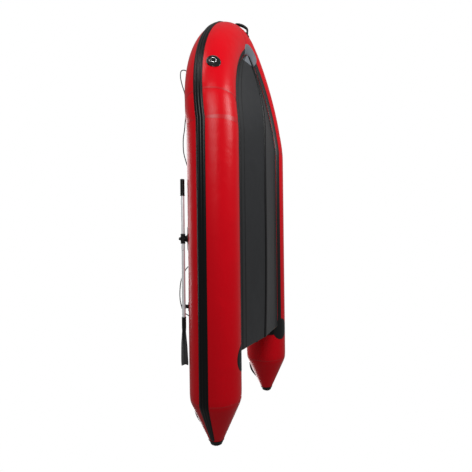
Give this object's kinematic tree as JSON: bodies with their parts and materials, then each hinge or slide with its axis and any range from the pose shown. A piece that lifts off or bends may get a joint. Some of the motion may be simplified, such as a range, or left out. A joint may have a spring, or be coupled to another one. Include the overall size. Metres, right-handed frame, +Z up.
{
  "type": "inflatable dinghy",
  "caption": "Inflatable dinghy with U-shaped tube, inflatable keel, sectional floor, transom, benches, lifelines and a pair of swinging oars.",
  "frame": {"origin": "middle of the bounding box, on the ground under the keel strip", "axes": "+X to the bow, +Y to port, +Z up"},
  "size_m": [4.264, 1.9146, 0.6694],
  "materials": {
    "tube_red": "smooth welded PVC-coated fabric, light sheen",
    "patch_red": "PVC-coated reinforcement patch",
    "hull_charcoal": "heavy charcoal PVC-coated fabric",
    "rubber_black": "moulded rubber",
    "webbing_black": "moulded plastic",
    "rope_black": "braided polyester rope",
    "aluminium": "brushed and anodised",
    "steel": "polished stainless",
    "timber": "varnished marine plywood",
    "grey_plastic": "moulded grey plastic"
  },
  "bodies": {
    "boat": {"port_tube": "tube_red", "starboard_tube": "tube_red", "bow_tube": "tube_red", "cone_caps": "rubber_black", "chamber_baffles": "grey_plastic", "rub_strake": "rubber_black", "hull_bottom": "hull_charcoal", "joint_tapes": "hull_charcoal", "keel_tube": "grey_plastic", "keel_strip": "rubber_black", "floorboard_1": "aluminium", "floorboard_2": "aluminium", "floorboard_3": "aluminium", "floorboard_bow": "aluminium", "floor_joiners": "aluminium", "floor_stringers": "aluminium", "transom_board": "timber", "transom_holders": "rubber_black", "motor_pad_outer": "rubber_black", "motor_pad_inner": "rubber_black", "transom_bolts": "steel", "drain_fittings": "grey_plastic", "tow_eyes": "steel", "tow_eye_nuts": "steel", "bench_rails": "rubber_black", "oarlock_bases": "rubber_black", "oarlock_pins": "steel", "oarlock_nuts": "webbing_black", "oar_clips": "webbing_black", "line_holders": "webbing_black", "lifelines": "rope_black", "ring_patches": "rubber_black", "bow_handle": "rubber_black", "bow_handle_patch": "patch_red", "stern_handles": "rubber_black", "valve_bodies": "grey_plastic"},
    "oar_port": {"oar_collar_port": "rubber_black", "oar_shaft_upper_port": "aluminium", "oar_shaft_lower_port": "aluminium", "oar_grip_port": "rubber_black", "oar_blade_port": "webbing_black"},
    "snap_button_port": {"snap_button_port": "steel"},
    "oar_starboard": {"oar_collar_starboard": "rubber_black", "oar_shaft_upper_starboard": "aluminium", "oar_shaft_lower_starboard": "aluminium", "oar_grip_starboard": "rubber_black", "oar_blade_starboard": "webbing_black"},
    "snap_button_starboard": {"snap_button_starboard": "steel"},
    "drain_plug_port": {"drain_plug_port": "grey_plastic"},
    "drain_plug_starboard": {"drain_plug_starboard": "grey_plastic"},
    "bench_aft": {"bench_aft": "timber"},
    "bench_rowing": {"bench_rowing": "timber"},
    "bow_ring_port": {"bow_ring_port": "steel"},
    "bow_ring_starboard": {"bow_ring_starboard": "steel"},
    "valve_cap_port": {"valve_cap_port": "grey_plastic"},
    "valve_cap_starboard": {"valve_cap_starboard": "grey_plastic"},
    "valve_cap_bow": {"valve_cap_bow": "grey_plastic"},
    "valve_plunger_port": {"valve_plunger_port": "grey_plastic"},
    "valve_plunger_starboard": {"valve_plunger_starboard": "grey_plastic"},
    "valve_plunger_bow": {"valve_plunger_bow": "grey_plastic"}
  },
  "joints": [
    {"name": "oar_port_swing", "type": "hinge", "parent": "boat", "child": "oar_port", "pos_m": [-0.23198, 0.82433, 0.53107], "axis": [0, -0.4067, -0.9135], "range_deg": [0, 120]},
    {"name": "snap_button_port_press", "type": "slide", "parent": "oar_port", "child": "snap_button_port", "axis": [0, -0.9135, 0.4067], "range_m": [0, 0.0048], "stiffness_N_per_m": 800, "springref_m": -0.002},
    {"name": "oar_starboard_swing", "type": "hinge", "parent": "boat", "child": "oar_starboard", "pos_m": [-0.23198, -0.82433, 0.53107], "axis": [0, -0.4067, 0.9135], "range_deg": [0, 120]},
    {"name": "snap_button_starboard_press", "type": "slide", "parent": "oar_starboard", "child": "snap_button_starboard", "axis": [0, 0.9135, 0.4067], "range_m": [0, 0.0048], "stiffness_N_per_m": 800, "springref_m": -0.002},
    {"name": "drain_plug_port_pull", "type": "slide", "parent": "boat", "child": "drain_plug_port", "axis": [0.9877, 0, 0.1564], "range_m": [0, 0.03]},
    {"name": "drain_plug_starboard_pull", "type": "slide", "parent": "boat", "child": "drain_plug_starboard", "axis": [0.9877, 0, 0.1564], "range_m": [0, 0.03]},
    {"name": "bench_aft_slide", "type": "slide", "parent": "boat", "child": "bench_aft", "axis": [1, 0, 0], "range_m": [-0.17, 0.17]},
    {"name": "bench_rowing_slide", "type": "slide", "parent": "boat", "child": "bench_rowing", "axis": [1, 0, 0], "range_m": [-0.17, 0.17]},
    {"name": "bow_ring_port_swing", "type": "hinge", "parent": "boat", "child": "bow_ring_port", "pos_m": [1.35442, 0.83073, 0.21189], "axis": [0.9222, -0.3698, 0.1132], "range_deg": [0, 150]},
    {"name": "bow_ring_starboard_swing", "type": "hinge", "parent": "boat", "child": "bow_ring_starboard", "pos_m": [1.35442, -0.83073, 0.21189], "axis": [-0.9222, -0.3698, -0.1132], "range_deg": [0, 150]},
    {"name": "valve_cap_port_twist", "type": "hinge", "parent": "boat", "child": "valve_cap_port", "pos_m": [-1.07198, 0.5237, 0.43574], "axis": [0, -0.7431, 0.6691], "range_deg": [0, 90]},
    {"name": "valve_cap_starboard_twist", "type": "hinge", "parent": "boat", "child": "valve_cap_starboard", "pos_m": [-1.07198, -0.5237, 0.43574], "axis": [0, 0.7431, 0.6691], "range_deg": [0, 90]},
    {"name": "valve_cap_bow_twist", "type": "hinge", "parent": "boat", "child": "valve_cap_bow", "pos_m": [1.35588, 0.35483, 0.50426], "axis": [-0.494, -0.6161, 0.6135], "range_deg": [0, 90]},
    {"name": "valve_plunger_port_press", "type": "slide", "parent": "boat", "child": "valve_plunger_port", "axis": [0, 0.7431, -0.6691], "range_m": [0, 0.006], "stiffness_N_per_m": 500, "springref_m": -0.002},
    {"name": "valve_plunger_starboard_press", "type": "slide", "parent": "boat", "child": "valve_plunger_starboard", "axis": [0, -0.7431, -0.6691], "range_m": [0, 0.006], "stiffness_N_per_m": 500, "springref_m": -0.002},
    {"name": "valve_plunger_bow_press", "type": "slide", "parent": "boat", "child": "valve_plunger_bow", "axis": [0.494, 0.6161, -0.6135], "range_m": [0, 0.006], "stiffness_N_per_m": 500, "springref_m": -0.002}
  ]
}
